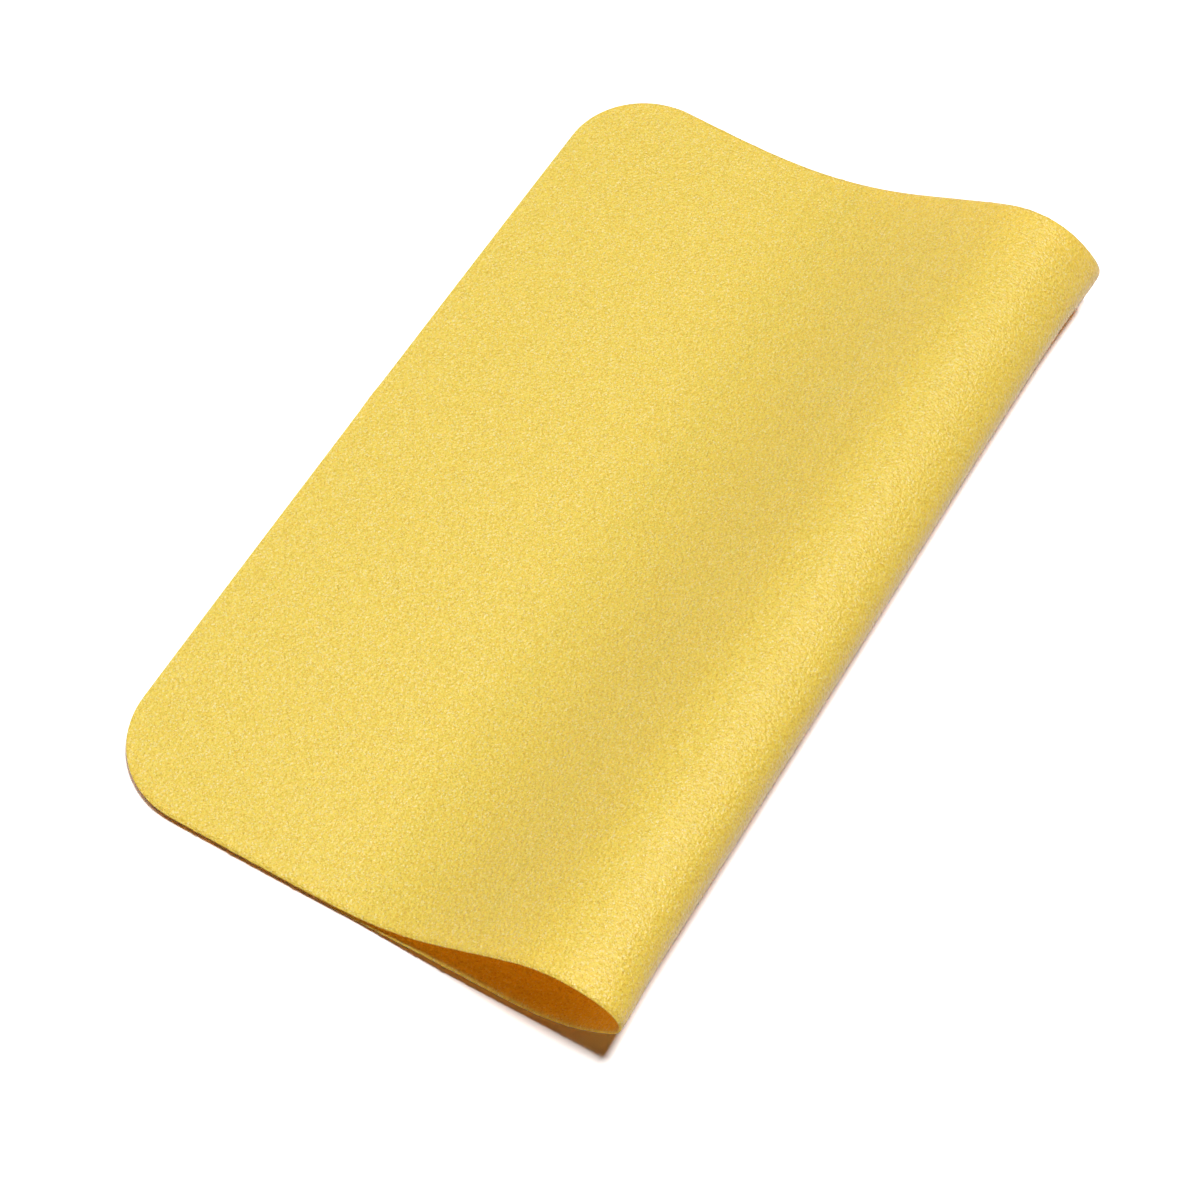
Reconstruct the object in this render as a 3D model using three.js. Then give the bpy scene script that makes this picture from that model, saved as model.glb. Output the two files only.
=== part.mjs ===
import * as THREE from 'three';

// A lens cleaning cloth: one rectangle of suede-faced microfibre, cut with round corners and no hem.
// It lies folded in half, and the fold was never pressed, so it stands open as a loop.
// From the lower flap the cloth rises, turns round the tip of the fold, arches over the crown,
// slopes down and flattens at the neck, where the upper flap comes to lie on the lower one.
// The bend is made of five strips that meet at bend lines, so that the cloth can be opened out flat.
// X runs across the fold, with the fold at +X, Y runs along it, and the cloth lies on Z = 0.
// Lengths are millimetres and angles are degrees.

// The cloth, laid flat
const CLOTH_WIDTH = 150;
const CLOTH_LENGTH = 180;
const CLOTH_THICKNESS = 0.5;
const CORNER_RADIUS = 14;

// The loop of the fold, measured on the middle of the cloth's thickness
const RISE_RADIUS = 19.5;
const RISE_TURN = 46.5;
const TIP_RADIUS = 3.8;
const TIP_TURN = 111;
const CROWN_RADIUS = 17;
const NECK_RADIUS = 42;
const NECK_TURN = 25;

// How finely a curved strip is faceted, in facets for each half of its arc
const FACETS_PER_HALF_ARC = 9;

// Clearances at a bend line and between the two flaps
const BEND_GAP = 0.2;
const FLAP_GAP = 0.3;

const MICROFIBRE_COLOUR = '#f0d567';
const MICROFIBRE_ROUGHNESS = 0.95;

const HALF_TURN = Math.PI;
const QUARTER_TURN = Math.PI / 2;
const halfWidth = CLOTH_WIDTH / 2;
const halfThickness = CLOTH_THICKNESS / 2;

// The cloth turns through the rise, the tip and the crown until it slopes down towards the lower flap.
// The neck then turns it back to level, so the crown takes what the rise and the tip leave.
const riseTurn = THREE.MathUtils.degToRad(RISE_TURN);
const tipTurn = THREE.MathUtils.degToRad(TIP_TURN);
const neckTurn = THREE.MathUtils.degToRad(NECK_TURN);
const crownTurn = HALF_TURN + neckTurn - riseTurn - tipTurn;

const upwardArcs = [
  { name: 'rise', radius: RISE_RADIUS, turn: riseTurn },
  { name: 'tip', radius: TIP_RADIUS, turn: tipTurn },
  { name: 'crown', radius: CROWN_RADIUS, turn: crownTurn },
];
const neckArc = { name: 'neck', radius: NECK_RADIUS, turn: -neckTurn };

// Where the crown ends, as seen from the start of the rise
const crownEnd = { x: 0, z: 0, heading: 0, path: 0 };
for (const { radius, turn } of upwardArcs) {
  const heading = crownEnd.heading + turn;
  crownEnd.x += radius * (Math.sin(heading) - Math.sin(crownEnd.heading));
  crownEnd.z += radius * (Math.cos(crownEnd.heading) - Math.cos(heading));
  crownEnd.path += radius * turn;
  crownEnd.heading = heading;
}

// The straight slope is as long as it takes to bring the upper flap down onto the lower one.
const flapSpacing = CLOTH_THICKNESS + FLAP_GAP;
const neckDrop = NECK_RADIUS * (1 - Math.cos(neckTurn));
const slopeLength = (crownEnd.z - neckDrop - flapSpacing) / Math.sin(neckTurn);

// The free edges of the two flaps lie one above the other, which shares out the rest of the cloth.
const loopEndX = crownEnd.x - slopeLength * Math.cos(neckTurn) - NECK_RADIUS * Math.sin(neckTurn);
const loopPath = crownEnd.path + slopeLength + NECK_RADIUS * neckTurn;
const upperFlapLength = (CLOTH_LENGTH - loopPath + loopEndX) / 2;
const lowerFlapLength = upperFlapLength - loopEndX;

// The origin is under the middle of the folded cloth, between its free edges and the tip of the fold.
const tipReach = RISE_RADIUS * Math.sin(riseTurn) + TIP_RADIUS * (1 - Math.sin(riseTurn)) + halfThickness;
const foldedWidth = lowerFlapLength + tipReach;
const riseStartX = lowerFlapLength - foldedWidth / 2;

const microfibre = new THREE.MeshStandardMaterial({
  color: MICROFIBRE_COLOUR,
  roughness: MICROFIBRE_ROUGHNESS,
  metalness: 0,
  side: THREE.DoubleSide,
});

function clothMesh(name, geometry) {
  const mesh = new THREE.Mesh(geometry, microfibre);
  mesh.name = name;
  return mesh;
}

// A flap runs level from its bend line at x = 0 to its free edge, which has the two round corners.
function flapGeometry(length) {
  const cornerX = length - CORNER_RADIUS;
  const cornerY = halfWidth - CORNER_RADIUS;
  const outline = new THREE.Shape();
  outline.moveTo(BEND_GAP / 2, halfWidth);
  outline.lineTo(BEND_GAP / 2, -halfWidth);
  outline.absarc(cornerX, -cornerY, CORNER_RADIUS, -QUARTER_TURN, 0, false);
  outline.absarc(cornerX, cornerY, CORNER_RADIUS, 0, QUARTER_TURN, false);
  const geometry = new THREE.ExtrudeGeometry(outline, { depth: CLOTH_THICKNESS, bevelEnabled: false });
  return geometry.translate(0, 0, -halfThickness);
}

// A bent strip is a piece of tube wall, from its bend line at x = 0 through its turn.
// A positive turn curls up and a negative one curls down.
function bentStripGeometry(radius, turn) {
  const side = Math.sign(turn);
  const gapAngle = BEND_GAP / 2 / radius;
  const start = side * (gapAngle - QUARTER_TURN);
  const end = start + turn - side * 2 * gapAngle;
  const section = new THREE.Shape();
  section.absarc(0, side * radius, radius + halfThickness, start, end, side < 0);
  section.absarc(0, side * radius, radius - halfThickness, end, start, side > 0);
  const geometry = new THREE.ExtrudeGeometry(section, {
    depth: CLOTH_WIDTH,
    bevelEnabled: false,
    curveSegments: FACETS_PER_HALF_ARC,
  });
  return geometry.rotateX(QUARTER_TURN).translate(0, halfWidth, 0);
}

function slopeGeometry() {
  const geometry = new THREE.BoxGeometry(slopeLength - BEND_GAP, CLOTH_WIDTH, CLOTH_THICKNESS);
  return geometry.translate(slopeLength / 2, 0, 0);
}

// Adds one piece at a bend line and gives back the bend line at the piece's far end.
function addAtBendLine(bendLine, mesh, reachX, reachZ, turn) {
  const nextBendLine = new THREE.Group();
  nextBendLine.position.set(reachX, 0, reachZ);
  nextBendLine.rotation.y = -turn;
  bendLine.add(mesh, nextBendLine);
  return nextBendLine;
}

function addBentStrip(bendLine, { name, radius, turn }) {
  const strip = clothMesh(name, bentStripGeometry(radius, turn));
  const reachX = radius * Math.abs(Math.sin(turn));
  const reachZ = Math.sign(turn) * radius * (1 - Math.cos(turn));
  return addAtBendLine(bendLine, strip, reachX, reachZ, turn);
}

const cloth = new THREE.Group();
cloth.name = 'lens_cleaning_cloth';

const riseStart = new THREE.Group();
riseStart.position.set(riseStartX, 0, halfThickness);
cloth.add(riseStart);

const lowerFlap = clothMesh('lower_flap', flapGeometry(lowerFlapLength));
lowerFlap.rotation.z = HALF_TURN;
riseStart.add(lowerFlap);

let bendLine = riseStart;
for (const arc of upwardArcs) {
  bendLine = addBentStrip(bendLine, arc);
}
bendLine = addAtBendLine(bendLine, clothMesh('slope', slopeGeometry()), slopeLength, 0, 0);
bendLine = addBentStrip(bendLine, neckArc);
bendLine.add(clothMesh('upper_flap', flapGeometry(upperFlapLength)));

export default cloth;
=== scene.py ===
import math

import bpy
import numpy as np
from mathutils import Matrix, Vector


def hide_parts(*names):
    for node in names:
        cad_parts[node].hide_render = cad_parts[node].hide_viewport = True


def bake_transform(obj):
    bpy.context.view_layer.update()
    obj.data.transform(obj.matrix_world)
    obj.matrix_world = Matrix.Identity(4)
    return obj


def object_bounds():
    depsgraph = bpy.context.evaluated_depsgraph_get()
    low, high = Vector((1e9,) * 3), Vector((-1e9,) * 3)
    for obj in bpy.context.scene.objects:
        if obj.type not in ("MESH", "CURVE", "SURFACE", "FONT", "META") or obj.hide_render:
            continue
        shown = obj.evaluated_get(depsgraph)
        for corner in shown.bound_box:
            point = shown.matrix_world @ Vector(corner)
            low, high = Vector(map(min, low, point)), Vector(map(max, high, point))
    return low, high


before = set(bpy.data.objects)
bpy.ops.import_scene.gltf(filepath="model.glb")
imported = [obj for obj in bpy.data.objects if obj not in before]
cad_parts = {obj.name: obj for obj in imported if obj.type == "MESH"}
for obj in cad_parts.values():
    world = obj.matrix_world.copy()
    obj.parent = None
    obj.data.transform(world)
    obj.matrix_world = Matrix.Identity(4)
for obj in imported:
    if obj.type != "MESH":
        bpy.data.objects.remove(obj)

cad_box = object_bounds()


# The cloth, as one sheet
# One rectangle of suede-faced microfibre, 150 x 180 mm and half a millimetre thick, die-cut with round corners.
# It has no hem. It lies folded in half, and the fold was never pressed, so it stands open as a loop.

MM = 0.001
CLOTH_WIDTH = 150 * MM
CLOTH_LENGTH = 180 * MM
CLOTH_THICKNESS = 0.5 * MM
CORNER_RADIUS = 14 * MM
half_width = CLOTH_WIDTH / 2
half_thickness = CLOTH_THICKNESS / 2

# The sheet is laid out as six stretches. Each ends half way round a curl, at these distances from the lower free edge.
STRETCH_ENDS = {"lower_flap": 79.1 * MM, "rise_to_tip": 90.4 * MM, "tip_to_crown": 101.6 * MM,
                "crown_to_slope": 115.8 * MM, "slope_to_neck": 133.8 * MM, "upper_flap": CLOTH_LENGTH}

ROW_GAP = 0.55 * MM
CORNER_ROWS = 25
COLUMNS = 241


def cloth_rows():
    """Distances along the cloth for the rows of the grid: evenly spaced on each stretch, and drawn together towards
    each free edge as the cosine of an angle, so that the round corners are evenly divided."""
    corner = CORNER_RADIUS * (1 - np.cos(np.linspace(0, np.pi / 2, CORNER_ROWS)))
    stops = [CORNER_RADIUS, *list(STRETCH_ENDS.values())[:-1], CLOTH_LENGTH - CORNER_RADIUS]
    runs = [np.linspace(a, b, math.ceil((b - a) / ROW_GAP) + 1)[1:] for a, b in zip(stops[:-1], stops[1:])]
    return np.concatenate([corner, *runs, (CLOTH_LENGTH - corner)[-2::-1]])


along = cloth_rows()
across = np.linspace(-1, 1, COLUMNS)

# The outline: the cloth's half width at each row, less where the round corners cut it
to_free_edge = np.minimum(along, CLOTH_LENGTH - along)
into_corner = np.clip(CORNER_RADIUS - to_free_edge, 0, None)
row_half_width = half_width - CORNER_RADIUS + np.sqrt(CORNER_RADIUS ** 2 - into_corner ** 2)
s = np.broadcast_to(along[:, None], (along.size, across.size))
flat_y = row_half_width[:, None] * across[None, :]
y = flat_y


def along_fold(near, far):
    """A value that runs evenly from the near end of the fold, at -Y, to the far end, at +Y."""
    return near + (far - near) * (flat_y / CLOTH_WIDTH + 0.5)


# The loop of the fold is a little rounder and steeper at the near end than at the far end
lower_length = along_fold(70.08 * MM, 71.98 * MM)
rise_radius = along_fold(19.28 * MM, 20.1 * MM)
rise_turn = along_fold(math.radians(46.2), math.radians(41.95))
tip_radius = along_fold(4.58 * MM, 2.8 * MM)
tip_turn = along_fold(math.radians(116.9), math.radians(92.8))
crown_radius = along_fold(15.8 * MM, 14.0 * MM)
neck_radius = along_fold(31.0 * MM, 61.3 * MM)
neck_turn = along_fold(math.radians(29.7), math.radians(23.55))
flap_spacing = along_fold(0.84 * MM, 1.0 * MM)
crown_turn = math.pi + neck_turn - rise_turn - tip_turn

# The slope is as long as it takes to bring the upper flap down onto the lower one
rise_top = rise_radius * (1 - np.cos(rise_turn))
tip_top = rise_top + tip_radius * (np.cos(rise_turn) - np.cos(rise_turn + tip_turn))
crown_end = tip_top + crown_radius * (np.cos(rise_turn + tip_turn) + np.cos(neck_turn))
neck_drop = neck_radius * (1 - np.cos(neck_turn))
slope_length = (crown_end - neck_drop - flap_spacing) / np.sin(neck_turn)

# Each bend line: how far along it is, how much the curvature changes there, and over what length it softens
rise_start = lower_length
tip_start = rise_start + rise_radius * rise_turn
crown_start = tip_start + tip_radius * tip_turn
slope_start = crown_start + crown_radius * crown_turn
neck_start = slope_start + slope_length
flap_start = neck_start + neck_radius * neck_turn
bends = [
    (rise_start, 1 / rise_radius, 1.4 * MM),
    (tip_start, 1 / tip_radius - 1 / rise_radius, 0.35 * MM),
    (crown_start, 1 / crown_radius - 1 / tip_radius, 0.45 * MM),
    (slope_start, -1 / crown_radius, 1.1 * MM),
    (neck_start, -1 / neck_radius, 1.5 * MM),
    (flap_start, 1 / neck_radius, 1.8 * MM),
]


def smooth_step(t):
    """0 below 0, 1 above 1, and a cubic with level ends between."""
    t = np.clip(t, 0, 1)
    return t * t * (3 - 2 * t)


def bell(distance, reach):
    """A bell curve: e to the minus square of the distance over the reach."""
    return np.exp(-(distance / reach) ** 2)


def running_sum(values):
    """The integral of values along the cloth by the trapezium rule, from its lower free edge."""
    steps = (values[1:] + values[:-1]) / 2 * np.diff(s, axis=0)
    return np.vstack([np.zeros((1, values.shape[1])), np.cumsum(steps, axis=0)])


def cloth_middle():
    """Points on the middle of the cloth's thickness. The heading at a point is the sum, over the bend lines, of the
    change in curvature there times a softened ramp (the logarithm of 1 + e to the distance past the line), and the
    place is the running sum of the heading's cosine in X and its sine in Z, from the free edge of the lower flap."""
    heading = sum(change * soft * np.logaddexp(0, (s - line) / soft) for line, change, soft in bends)
    x = cad_box[0].x + running_sum(np.cos(heading))
    z = half_thickness + running_sum(np.sin(heading))
    settle = smooth_step((s - slope_start) / (flap_start - slope_start))
    z = z + settle * (half_thickness + flap_spacing - z[-1:])
    return x, z


x, z = cloth_middle()

# The cloth lies a little bowed, and its fold wanders in a little, in the far half
BOW = 0.1 * MM
WANDER, WANDER_PLACE, WANDER_REACH = 0.3 * MM, 40 * MM, 35 * MM
up_rise = smooth_step((s - rise_start) / (tip_start - rise_start))
down_slope = smooth_step((flap_start - s) / (flap_start - slope_start))
x = x - BOW * (1 / 3 - (y / half_width) ** 2)
x = x - WANDER * up_rise * down_slope * bell(y - WANDER_PLACE, WANDER_REACH)

# At the near end the tip of the fold was pinched and stands out to a point
PINCH, PINCH_ROUND, PINCH_DEEP = 0.6 * MM, 5 * MM, 8 * MM
tip_middle = (tip_start + crown_start) / 2
x = x + PINCH * bell(s - tip_middle, PINCH_ROUND) * bell(y + half_width, PINCH_DEEP)

# At the far end the tip sags and leans out a little
SAG_OUT, SAG_DOWN, SAG_ROUND, SAG_DEEP = 0.35 * MM, 0.9 * MM, 6 * MM, 9 * MM
far_sag = bell(s - tip_middle, SAG_ROUND) * bell(y - half_width, SAG_DEEP)
x = x + SAG_OUT * far_sag
z = z - SAG_DOWN * far_sag

# At the near end the lower layer lifts and comes forward a little, before the tip
LIFT_UP, LIFT_FORWARD, LIFT_DEEP = 1.4 * MM, 0.25 * MM, 18 * MM
LIFT_START, LIFT_FULL, LIFT_EASES, LIFT_END = 40 * MM, 62 * MM, 84 * MM, 94 * MM
lifting = smooth_step((s - LIFT_START) / (LIFT_FULL - LIFT_START))
easing = smooth_step((LIFT_END - s) / (LIFT_END - LIFT_EASES))
near_lift = lifting * easing * bell(y + half_width, LIFT_DEEP)
z = z + LIFT_UP * near_lift
y = y - LIFT_FORWARD * near_lift

# It was not folded quite square: the free edges lie a little to the far side of the fold, the far corner of the upper
# flap most of all, and the lower layer shows a little beyond the upper one at the near end
LOWER_ASKEW, UPPER_ASKEW, CORNER_ASKEW, LOWER_SHOWS = 0.7 * MM, 0.5 * MM, 0.8 * MM, 0.3 * MM
to_lower_edge = smooth_step((rise_start - s) / rise_start)
to_upper_edge = smooth_step((s - flap_start) / (CLOTH_LENGTH - flap_start))
far_side = smooth_step(y / CLOTH_WIDTH + 0.5)
on_lower_half = 1 - smooth_step((s - tip_start) / (slope_start - tip_start))
y = y + LOWER_ASKEW * to_lower_edge + (UPPER_ASKEW + CORNER_ASKEW * far_side) * to_upper_edge
y = y - LOWER_SHOWS * on_lower_half * (1 - to_lower_edge)

middle = np.stack([x, y, z], axis=-1)


def unit(vectors):
    """The vectors, each divided by its own length."""
    return vectors / np.linalg.norm(vectors, axis=-1, keepdims=True)


run_along = unit(np.gradient(middle, along, axis=0))
run_across = unit(np.gradient(middle, axis=1))
facing = unit(np.cross(run_along, run_across))

# The cut edge: the outward direction there, and how the blade thinned the cloth beside it
THINNED_SHARE, THINNED_REACH = 0.22, 0.35 * MM
NO_REACH = 1e-9
end_sign = np.where(s < CLOTH_LENGTH / 2, -1, 1)
past_corner_y = np.clip(np.abs(flat_y) - (half_width - CORNER_RADIUS), 0, None)
past_corner_s = np.broadcast_to(into_corner[:, None], s.shape)
corner_reach = np.maximum(np.hypot(past_corner_s, past_corner_y), NO_REACH)
outward_s = end_sign * past_corner_s / corner_reach
outward_y = np.sign(across)[None, :] * past_corner_y / corner_reach
straight_edge = np.minimum(to_free_edge[:, None], half_width - np.abs(flat_y))
in_corner = (past_corner_s > 0) & (past_corner_y > 0)
to_cut_edge = np.where(in_corner, CORNER_RADIUS - corner_reach, straight_edge)
thinned = half_thickness * (1 - THINNED_SHARE * np.exp(-np.clip(to_cut_edge, 0, None) / THINNED_REACH))
inner_face = middle + facing * thinned[..., None]
outer_face = middle - facing * thinned[..., None]

# The rounded section of the cut edge, from the inner face over to the outer one, and the fibres that stand out of it
EDGE_ANGLES = np.radians([60, 30, 0, -30, -60])
EDGE_BULGE = 0.14 * MM
EDGE_ROUNDING = 0.5
FRINGE_LIFT = 0.5
ON_EDGE = 1e-6
TUFT_SEED, TUFT_COUNT = 7, 120
TUFT_GAPS = (2.5 * MM, 9 * MM)
TUFT_HEIGHTS = (0.03 * MM, 0.14 * MM)
TUFT_REACH = 0.2 * MM
FRINGE_HEIGHT = 0.05 * MM


def edge_tufts(places):
    """How far cut fibres stand out of the edge at each place along it: tufts about 6 mm apart, each a narrow bell
    curve, over a fine uneven fringe. The draws are seeded, so the tufts are the same each time."""
    draws = np.random.default_rng(TUFT_SEED)
    centres = np.cumsum(draws.uniform(*TUFT_GAPS, TUFT_COUNT))
    heights = draws.uniform(*TUFT_HEIGHTS, centres.size)
    bells = bell(places[:, None] - centres[None, :], TUFT_REACH)
    return bells @ heights + draws.uniform(0, FRINGE_HEIGHT, places.size)


def cut_cloth(name, first, last):
    """A closed piece of the cloth from row first to row last: the inner and outer faces as two grids, and round their
    border a wall that bulges at the cut edges and is square where the next stretch goes on."""
    rows = slice(first, last + 1)
    shape = s[rows].shape
    grid = np.arange(shape[0] * shape[1]).reshape(shape)
    ring = np.concatenate([grid[:, 0], grid[-1, 1:], grid[-2::-1, -1], grid[0, -2:0:-1]])

    def flat(values):
        """The values on these rows, one line for each point of a face."""
        return values[rows].reshape(grid.size, -1)

    # The wall: its points, the way it faces, and its place on the flat cloth. Each stretch starts at its own tuft.
    ring_middle = flat(middle)[ring]
    ring_facing = flat(facing)[ring]
    ring_thin = flat(thinned)[ring]
    ring_out_s = flat(outward_s)[ring]
    ring_out_y = flat(outward_y)[ring]
    ring_out = ring_out_s * flat(run_along)[ring] + ring_out_y * flat(run_across)[ring]
    is_cut = flat(to_cut_edge)[ring] < ON_EDGE
    steps = np.linalg.norm(np.diff(ring_middle, axis=0), axis=1)
    places = np.concatenate([[0], np.cumsum(steps)]) + first * MM
    bulge = np.where(is_cut, EDGE_BULGE + edge_tufts(places)[:, None], 0)
    end_out = np.where(ring[:, None] < shape[1], -1, 1) * flat(run_along)[ring]
    wall_out = np.where(is_cut, ring_out, end_out)
    rise, reach = np.sin(EDGE_ANGLES)[:, None, None], np.cos(EDGE_ANGLES)[:, None, None]
    wall = ring_middle + ring_facing * ring_thin * rise + ring_out * bulge * reach
    fringe_lift = np.where(is_cut, FRINGE_LIFT, 0) * np.array([0, 0, 1])
    wall_normals = unit(ring_facing * rise + wall_out * reach + fringe_lift)
    wall_uv = np.stack([flat(s)[ring] + ring_out_s * bulge, flat(y)[ring] + ring_out_y * bulge], axis=-1)[:, 0]

    # The faces, the points, the way that each point faces, and the place of each on the flat cloth
    corners = np.stack([grid[:-1, :-1], grid[1:, :-1], grid[1:, 1:], grid[:-1, 1:]], axis=-1).reshape(-1, 4)
    levels = np.vstack([ring, 2 * grid.size + np.arange(ring.size * EDGE_ANGLES.size).reshape(-1, ring.size),
                        ring + grid.size])
    after = np.roll(levels, -1, axis=1)
    sides = np.stack([levels[:-1], levels[1:], after[1:], after[:-1]], axis=-1).reshape(-1, 4)
    faces = np.vstack([corners, corners[:, ::-1] + grid.size, sides])
    points = np.vstack([flat(inner_face), flat(outer_face), wall.reshape(-1, 3)])
    edge_lean = np.zeros((grid.size, 3))
    edge_lean[ring] = np.where(is_cut, EDGE_ROUNDING * ring_out, 0)
    normals = np.vstack([unit(flat(facing) + edge_lean), unit(edge_lean - flat(facing)), wall_normals.reshape(-1, 3)])
    face_uv = np.concatenate([flat(s), flat(y)], axis=1)
    uv = np.vstack([face_uv, face_uv, np.tile(wall_uv, (EDGE_ANGLES.size, 1))])

    mesh = bpy.data.meshes.new(name)
    mesh.vertices.add(len(points))
    mesh.vertices.foreach_set("co", points.ravel())
    mesh.loops.add(faces.size)
    mesh.loops.foreach_set("vertex_index", faces.ravel())
    mesh.polygons.add(len(faces))
    mesh.polygons.foreach_set("loop_start", np.arange(0, faces.size, 4))
    mesh.update(calc_edges=True)
    mesh.uv_layers.new(name="cloth").data.foreach_set("uv", uv[faces.ravel()].ravel())
    mesh.shade_smooth()
    mesh.normals_split_custom_set_from_vertices(normals)
    mesh.validate()
    piece = bpy.data.objects.new(name, mesh)
    bpy.context.scene.collection.objects.link(piece)
    piece.data.materials.append(microfibre)
    return piece


def row_at(line):
    """The row of the grid nearest to a distance along the cloth."""
    return int(np.argmin(np.abs(along - line)))


# The finish
# Short curled fibres raised into a fine nap and dyed yellow, with dark pits and pale fibre ends between the tufts.
# It is matt, with a pale bloom at grazing angles, and so thin that some light comes through, as a deep orange.
PIT_COLOUR = (0.55, 0.37, 0.006, 1)
NAP_COLOUR = (0.86, 0.69, 0.06, 1)
TUFT_COLOUR = (1.0, 0.90, 0.13, 1)
FIBRE_END_COLOUR = (1.0, 0.95, 0.42, 1)
BLOOM_COLOUR = (1.0, 0.97, 0.88, 1)
THROUGH_COLOUR = (1.0, 0.61, 0.12, 1)

# How much of a spot's shade is its tuft's own and how much the nap's, and where in the range the shades begin
TUFT_SHADE, NAP_SHADE, LEAST_SHADE = 0.55, 0.3, 0.075
NAP_COLOUR_AT = 0.38
FIBRE_ENDS_FROM, FIBRE_ENDS_MOST = 0.80, 0.8

# How much of the relief is the nap's and how much its lumps', and how high it stands
NAP_RELIEF, LUMP_RELIEF = 0.2, 0.8
RELIEF_HEIGHT = 0.3 * MM

# The share of light that goes through, as it falls on what lies behind and as the eye sees it
SHARE_THROUGH, SHARE_SEEN = 0.40, 0.2

microfibre = bpy.data.materials.new("microfibre_suede")
microfibre.use_nodes = True
tree = microfibre.node_tree
tree.nodes.clear()


def node(kind, **inputs):
    """A node of the finish, with its settings (names in lower case) and its inputs (by their names) filled in."""
    made = tree.nodes.new(kind)
    for key, value in inputs.items():
        if hasattr(made, key) and key not in made.inputs:
            setattr(made, key, value)
        elif isinstance(value, bpy.types.NodeSocket):
            tree.links.new(value, made.inputs[key])
        else:
            made.inputs[key].default_value = value
    return made


def blend_values(operation, a, b):
    """One step of arithmetic between two values or sockets."""
    made = node("ShaderNodeMath", operation=operation)
    for socket, value in zip(made.inputs, (a, b)):
        if isinstance(value, bpy.types.NodeSocket):
            tree.links.new(value, socket)
        else:
            socket.default_value = value
    return made.outputs[0]


def weighed(a, a_share, b, b_share):
    """The sum of two sockets, each times its share."""
    return blend_values("ADD", blend_values("MULTIPLY", a, a_share), blend_values("MULTIPLY", b, b_share))


cloth_uv = node("ShaderNodeUVMap", uv_map="cloth").outputs["UV"]
brushed = node("ShaderNodeMapping", Vector=cloth_uv, Scale=(0.5, 1, 1)).outputs["Vector"]
nap = node("ShaderNodeTexNoise", Vector=brushed, Scale=4000.0, Detail=1.0, Roughness=0.5).outputs["Fac"]
tufts = node("ShaderNodeTexVoronoi", Vector=cloth_uv, Scale=5200.0)
draw = node("ShaderNodeSeparateColor", Color=tufts.outputs["Color"])
lumps = node("ShaderNodeTexNoise", Vector=cloth_uv, Scale=2100.0, Detail=1.0, Roughness=0.5).outputs["Fac"]
tone = blend_values("ADD", weighed(draw.outputs["Red"], TUFT_SHADE, nap, NAP_SHADE), LEAST_SHADE)
shades = node("ShaderNodeValToRGB", Fac=tone)
shades.color_ramp.elements[0].color = PIT_COLOUR
shades.color_ramp.elements[1].color = TUFT_COLOUR
shades.color_ramp.elements.new(NAP_COLOUR_AT).color = NAP_COLOUR
pale = node("ShaderNodeMapRange", Value=draw.outputs["Green"])
pale.inputs["From Min"].default_value = FIBRE_ENDS_FROM
pale.inputs["From Max"].default_value = 1.0
pale.inputs["To Max"].default_value = FIBRE_ENDS_MOST
dye = node("ShaderNodeMix", data_type="RGBA")
tree.links.new(pale.outputs["Result"], dye.inputs["Factor"])
tree.links.new(shades.outputs["Color"], dye.inputs[6])
dye.inputs[7].default_value = FIBRE_END_COLOUR
height = weighed(nap, NAP_RELIEF, lumps, LUMP_RELIEF)
bump = node("ShaderNodeBump", Strength=0.9, Distance=RELIEF_HEIGHT, Height=height).outputs["Normal"]
nap_surface = node("ShaderNodeBsdfPrincipled", Normal=bump, Roughness=0.41)
tree.links.new(dye.outputs[2], nap_surface.inputs["Base Color"])
nap_surface.inputs["Specular IOR Level"].default_value = 0.6
nap_surface.inputs["Sheen Weight"].default_value = 0.65
nap_surface.inputs["Sheen Roughness"].default_value = 0.55
nap_surface.inputs["Sheen Tint"].default_value = BLOOM_COLOUR
let_through = node("ShaderNodeBsdfTranslucent", Color=THROUGH_COLOUR)
seen_by = node("ShaderNodeLightPath")
share_through = node("ShaderNodeMapRange", Value=seen_by.outputs["Is Camera Ray"])
share_through.inputs["To Min"].default_value = SHARE_THROUGH
share_through.inputs["To Max"].default_value = SHARE_SEEN
fabric = node("ShaderNodeMixShader", Fac=share_through.outputs["Result"])
tree.links.new(nap_surface.outputs[0], fabric.inputs[1])
tree.links.new(let_through.outputs[0], fabric.inputs[2])
surface = node("ShaderNodeOutputMaterial")
tree.links.new(fabric.outputs[0], surface.inputs["Surface"])


# Lower flap
# The half of the cloth that lies flat on the table, with the start of the rise, where the fold lifts off it.
# It is the same sheet as the rest, so nothing fixes it: it only runs on round the fold.
def bend_between(piece):
    """Bakes the stretch's placing into its mesh and leaves the object unmoved, at the origin with no turn."""
    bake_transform(piece)


rise_row = row_at(STRETCH_ENDS["lower_flap"])
lower_flap = cut_cloth("cloth_lower_flap", 0, rise_row)
bend_between(lower_flap)
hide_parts("lower_flap")


# Rise, tip and crown of the fold
# The cloth lifts off the table, turns back over itself at the tip and arches over the crown.
# No seam or crease holds the fold: as it opens, each stretch uncurls from one bend to the next.
tip_row = row_at(STRETCH_ENDS["rise_to_tip"])
crown_row = row_at(STRETCH_ENDS["tip_to_crown"])
rise_to_tip = cut_cloth("cloth_rise_to_tip", rise_row, tip_row)
bend_between(rise_to_tip)
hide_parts("rise")
tip_to_crown = cut_cloth("cloth_tip_to_crown", tip_row, crown_row)
bend_between(tip_to_crown)
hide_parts("tip")


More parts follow.
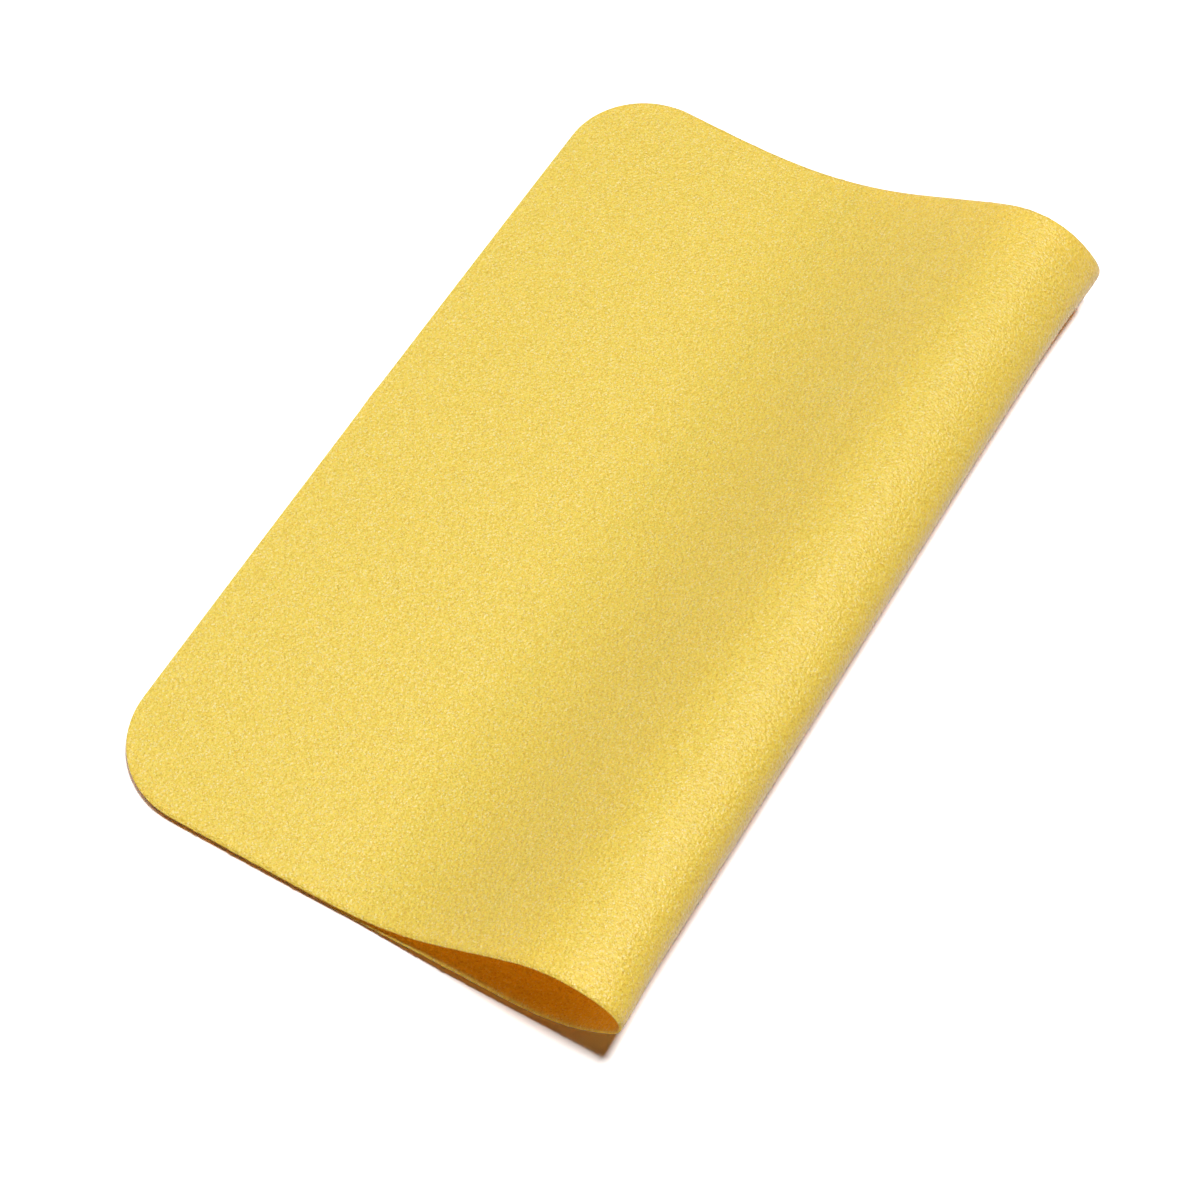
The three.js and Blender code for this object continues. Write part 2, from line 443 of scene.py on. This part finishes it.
# Slope and neck
# The cloth comes down from the crown in a straight slope, and the neck levels it out above the lower flap.
# They are the same sheet, held up only by the stiffness of the fabric.
slope_row = row_at(STRETCH_ENDS["crown_to_slope"])
neck_row = row_at(STRETCH_ENDS["slope_to_neck"])
crown_to_slope = cut_cloth("cloth_crown_to_slope", crown_row, slope_row)
bend_between(crown_to_slope)
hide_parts("crown")
slope_to_neck = cut_cloth("cloth_slope_to_neck", slope_row, neck_row)
bend_between(slope_to_neck)
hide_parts("slope", "neck")


# Upper flap
# The other half of the cloth, which comes down from the neck and lies on the lower flap, edge over edge.
# Only its own weight holds it there, so it lifts away when the fold is opened.
upper_flap = cut_cloth("cloth_upper_flap", neck_row, along.size - 1)
bend_between(upper_flap)
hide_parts("upper_flap")


# Floor
# The plain white paper that the cloth lies on. It gives back less light than it shows, so that the shadow under the
# fold stays deep, and it lies a little low, because the opened cloth dips slightly below the table's plane.
FLOOR_HALF = 0.7
FLOOR_LEVEL = -0.2 * MM
PAPER_GIVES_BACK = (0.24, 0.24, 0.24, 1)
PAPER_SHOWS = (1.5, 1.5, 1.5, 1)
floor_mesh = bpy.data.meshes.new("floor")
floor_corners = [(-FLOOR_HALF, -FLOOR_HALF), (FLOOR_HALF, -FLOOR_HALF),
                 (FLOOR_HALF, FLOOR_HALF), (-FLOOR_HALF, FLOOR_HALF)]
floor_mesh.from_pydata([(*corner, FLOOR_LEVEL) for corner in floor_corners], [], [(0, 1, 2, 3)])
floor = bpy.data.objects.new("floor", floor_mesh)
bpy.context.scene.collection.objects.link(floor)
paper = bpy.data.materials.new("white_paper")
paper.use_nodes = True
tree = paper.node_tree
tree.nodes.clear()
seen = node("ShaderNodeLightPath")
seen_direct = blend_values("MAXIMUM", seen.outputs["Is Camera Ray"], seen.outputs["Is Glossy Ray"])
seen_direct = blend_values("MAXIMUM", seen_direct, seen.outputs["Is Transmission Ray"])
paper_tone = node("ShaderNodeMix", data_type="RGBA")
tree.links.new(seen_direct, paper_tone.inputs["Factor"])
paper_tone.inputs[6].default_value = PAPER_GIVES_BACK
paper_tone.inputs[7].default_value = PAPER_SHOWS
matt = node("ShaderNodeBsdfDiffuse", Color=paper_tone.outputs[2])
paper_out = node("ShaderNodeOutputMaterial")
tree.links.new(matt.outputs[0], paper_out.inputs["Surface"])
floor.data.materials.append(paper)


# Light
# Three soft boxes that face the cloth: a key overhead, leaning to the fold's side, one at the back, which gives the
# crown its pale bloom, and a broad fill on the free edges' side. The surround is dim, and only looks white.
def soft_box(name, place, width, watts):
    """A square area lamp of a width and a power at a place in metres, turned to face the middle of the cloth."""
    lamp = bpy.data.lights.new(name, "AREA")
    lamp.shape = "RECTANGLE"
    lamp.size, lamp.size_y = width, width
    lamp.energy = watts
    thing = bpy.data.objects.new(name, lamp)
    bpy.context.scene.collection.objects.link(thing)
    back = unit(np.array(place, float))
    right = unit(np.cross([0, 1, 0], back))
    up = np.cross(back, right)
    turn = np.eye(4)
    turn[:3, 0], turn[:3, 1], turn[:3, 2], turn[:3, 3] = right, up, back, place
    thing.matrix_world = Matrix(turn.tolist())


soft_box("key_box", place=(0.66, 0.15, 3.60), width=0.5, watts=86.0)
soft_box("back_box", place=(0.45, 2.00, 3.60), width=0.85, watts=47.0)
soft_box("fill_box", place=(-2.0, 1.00, 3.20), width=3.0, watts=43.0)
surround = bpy.data.worlds.new("surround")
bpy.context.scene.world = surround
surround.use_nodes = True
tree = surround.node_tree
tree.nodes.clear()
ray = node("ShaderNodeLightPath")
ray_direct = blend_values("MAXIMUM", ray.outputs["Is Camera Ray"], ray.outputs["Is Transmission Ray"])
dim = node("ShaderNodeBackground", Color=(1, 1, 1, 1), Strength=0.008)
white = node("ShaderNodeBackground", Color=(1, 1, 1, 1), Strength=1.0)
choose = node("ShaderNodeMixShader", Fac=ray_direct)
tree.links.new(dim.outputs[0], choose.inputs[1])
tree.links.new(white.outputs[0], choose.inputs[2])
world_out = node("ShaderNodeOutputWorld")
tree.links.new(choose.outputs[0], world_out.inputs["Surface"])
bpy.context.scene.view_settings.view_transform = "Standard"


# Camera
# It stands on the near side of the cloth, towards the fold, and looks down at it from above.
# Its lens, given as a length in pixels of the square picture, is a long one.
FOCAL_PIXELS = 3088.0
PICTURE_PIXELS = 1200
SENSOR_WIDTH = 36
NEAREST_SEEN = 0.01
AZIMUTH, ELEVATION, ROLL = np.radians([27.783, 56.860, 2.069])
AIM = np.array([4.5 * MM, -12.719 * MM, 0])
DISTANCE = 451.27 * MM
level_back = np.array([math.sin(AZIMUTH), -math.cos(AZIMUTH), 0])
level_right = np.array([math.cos(AZIMUTH), math.sin(AZIMUTH), 0])
back = level_back * math.cos(ELEVATION) + np.array([0, 0, math.sin(ELEVATION)])
level_up = np.cross(back, level_right)
right = level_right * math.cos(ROLL) + level_up * math.sin(ROLL)
up = level_up * math.cos(ROLL) - level_right * math.sin(ROLL)
lens = bpy.data.cameras.new("camera")
lens.sensor_width = SENSOR_WIDTH
lens.lens = FOCAL_PIXELS / PICTURE_PIXELS * lens.sensor_width
lens.clip_start = NEAREST_SEEN
camera = bpy.data.objects.new("camera", lens)
bpy.context.scene.collection.objects.link(camera)
pose = np.eye(4)
pose[:3, 0], pose[:3, 1], pose[:3, 2], pose[:3, 3] = right, up, back, AIM + back * DISTANCE
camera.matrix_world = Matrix(pose.tolist())
bpy.context.scene.camera = camera
